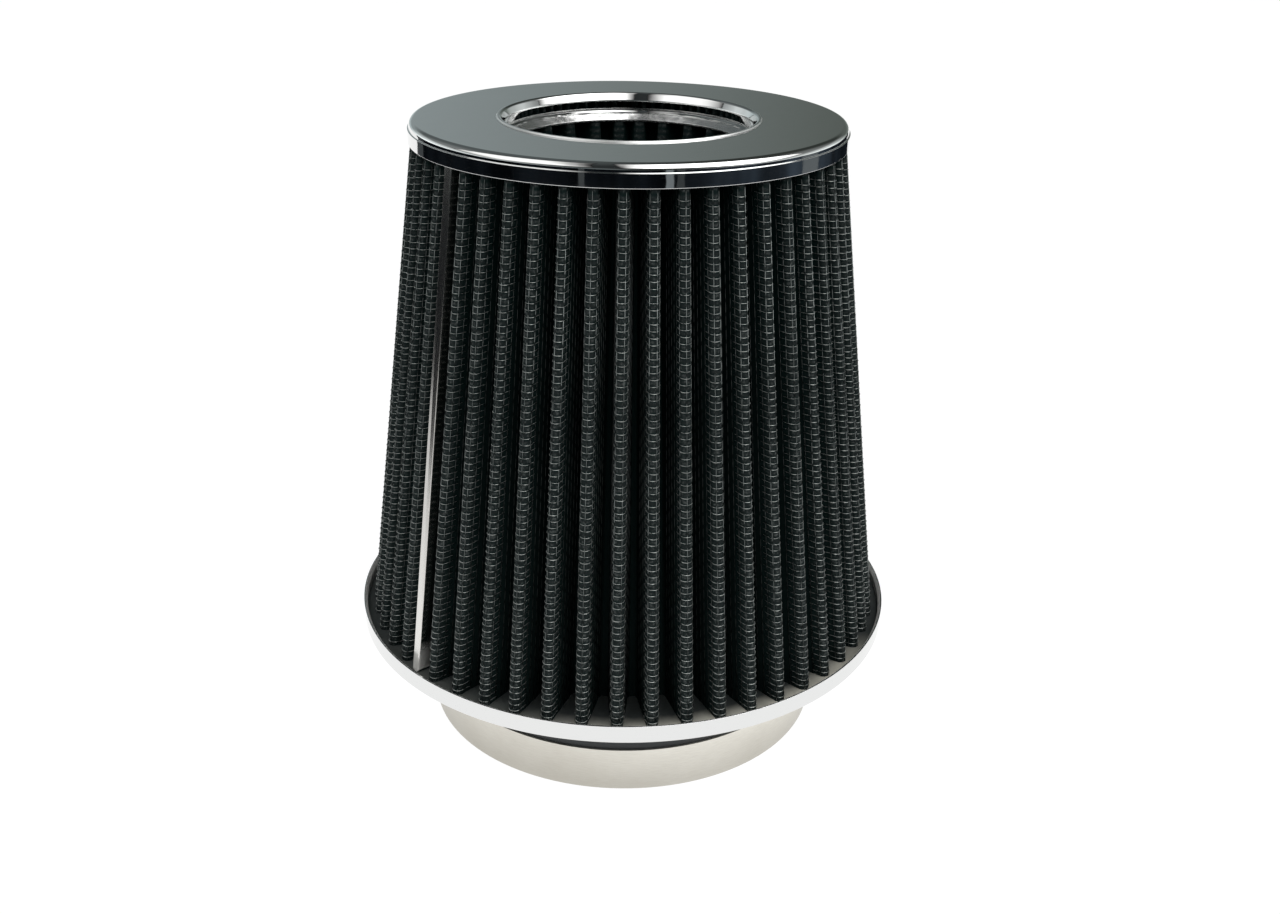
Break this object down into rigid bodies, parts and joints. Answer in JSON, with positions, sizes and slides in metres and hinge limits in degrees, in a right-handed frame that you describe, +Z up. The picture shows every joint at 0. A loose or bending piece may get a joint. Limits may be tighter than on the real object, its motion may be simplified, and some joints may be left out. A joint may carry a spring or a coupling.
{
  "type": "cone air filter",
  "caption": "Open-top cone air filter: tapered black pleats between a bright cap and base rim, an inverted inner cone, and a rubber neck with a worm-drive band clamp.",
  "frame": {"origin": "centre of the neck's open end, on the surface it stands on", "axes": "+Z up along the filter's axis towards the cap, -Y the front, with the seam at front left, +Y the back, with the clamp screw"},
  "size_m": [0.1524, 0.1524, 0.1711],
  "materials": {
    "chrome": "bright mirror plate",
    "seam_strip": "bright, slightly dulled strip",
    "filter_media": "black cotton media under a woven wire screen",
    "potting": "pale sealing compound, matt",
    "moulded_rubber": "moulded black, satin",
    "clamp_steel": "satin stainless strip"
  },
  "bodies": {
    "filter": {"top_cap": "chrome", "inner_collar": "chrome", "top_potting": "potting", "outer_pleats": "filter_media", "seam_clip": "seam_strip", "inner_pleats": "filter_media", "inner_end_cap": "moulded_rubber", "base_pan": "chrome", "base_potting": "potting", "rubber_neck": "moulded_rubber", "clamp_band": "clamp_steel", "clamp_housing": "clamp_steel"},
    "screw": {"clamp_screw": "clamp_steel"}
  },
  "joints": [
    {"name": "clamp_screw_turn", "type": "hinge", "parent": "filter", "child": "screw", "pos_m": [0, 0.0624, 0.007], "axis": [-1, 0, 0], "range_deg": [-810, 3690]}
  ]
}
